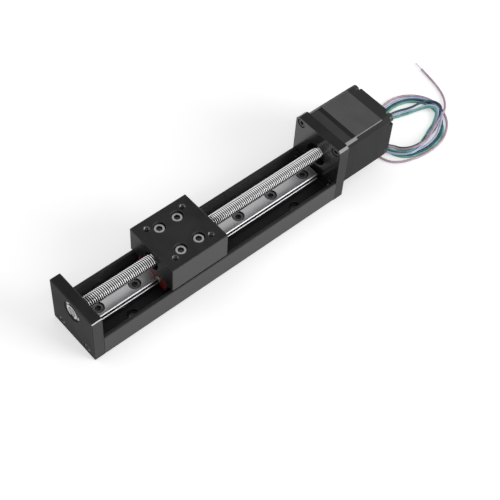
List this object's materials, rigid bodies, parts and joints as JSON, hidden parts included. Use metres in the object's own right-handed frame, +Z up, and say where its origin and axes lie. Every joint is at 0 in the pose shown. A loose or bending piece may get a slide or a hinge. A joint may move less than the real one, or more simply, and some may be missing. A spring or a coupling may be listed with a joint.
{
  "type": "linear slide",
  "caption": "Screw-driven linear slide: a table on a ball-bearing rail in a U-shaped body, moved by a lead screw and a square stepper motor with loose wire leads.",
  "frame": {"origin": "middle of the base channel's underside", "axes": "+X along the rail towards the motor, +Z up, out of the table's top face"},
  "size_m": [0.2387, 0.0502, 0.0342],
  "materials": {
    "black_anodised": "satin black anodised",
    "bright_steel": "ground",
    "black_screw": "black oxide",
    "silver_screw": "zinc plated",
    "bearing_steel": "polished",
    "cap_plastic": "moulded",
    "seal_rubber": "moulded",
    "nut_resin": "machined",
    "lamination_steel": "stacked sheet",
    "copper": "enamelled wire",
    "magnet": "sintered",
    "lead_red": "extruded",
    "lead_green": "extruded",
    "lead_blue": "extruded",
    "lead_black": "extruded",
    "tin": "tinned"
  },
  "bodies": {
    "base": {"base_channel": "black_anodised", "front_plate": "black_anodised", "motor_plate": "black_anodised", "motor_front_bell": "black_anodised", "motor_rear_bell": "black_anodised", "rail": "bright_steel", "rail_screws": "black_screw", "front_plate_screws": "black_screw", "motor_plate_screws": "black_screw", "motor_screws": "black_screw", "motor_rear_screws": "black_screw", "front_bearing_balls": "bearing_steel", "wave_washer": "bearing_steel", "motor_stator": "lamination_steel", "motor_coils": "copper", "lead_grommet": "cap_plastic", "lead_red": "lead_red", "lead_green": "lead_green", "lead_blue": "lead_blue", "lead_black": "lead_black", "lead_red_tail": "lead_red", "lead_red_tip": "tin", "wire_coil": "lead_blue", "front_bearing_outer": "bearing_steel", "front_bearing_shields": "bearing_steel", "motor_front_bearing_outer": "bearing_steel", "motor_front_bearing_shields": "bearing_steel", "motor_rear_bearing_outer": "bearing_steel", "motor_rear_bearing_shields": "bearing_steel"},
    "screw": {"lead_screw": "bright_steel", "retaining_clip": "bearing_steel", "front_bearing_inner": "bearing_steel", "motor_front_bearing_inner": "bearing_steel", "motor_rear_bearing_inner": "bearing_steel", "rotor_stack_1": "lamination_steel", "rotor_stack_2": "lamination_steel", "rotor_magnet": "magnet"},
    "carriage": {"carriage_block": "bright_steel", "carriage_balls": "bearing_steel", "end_cap_front": "cap_plastic", "end_cap_rear": "cap_plastic", "end_seal_front": "seal_rubber", "end_seal_rear": "seal_rubber", "end_cap_screws": "silver_screw", "slider_table": "black_anodised", "table_screws": "silver_screw", "lead_nut": "nut_resin", "nut_screws": "silver_screw"}
  },
  "joints": [
    {"name": "screw_spin", "type": "hinge", "parent": "base", "child": "screw", "pos_m": [0, 0, 0.02], "axis": [1, 0, 0], "range_deg": [-23400, 12600]},
    {"name": "table_slide", "type": "slide", "parent": "base", "child": "carriage", "axis": [1, 0, 0], "range_m": [-0.035, 0.065]}
  ],
  "couplings": [
    {"joint": "screw_spin", "follows": "table_slide", "rad_per_m": -6283.2}
  ]
}
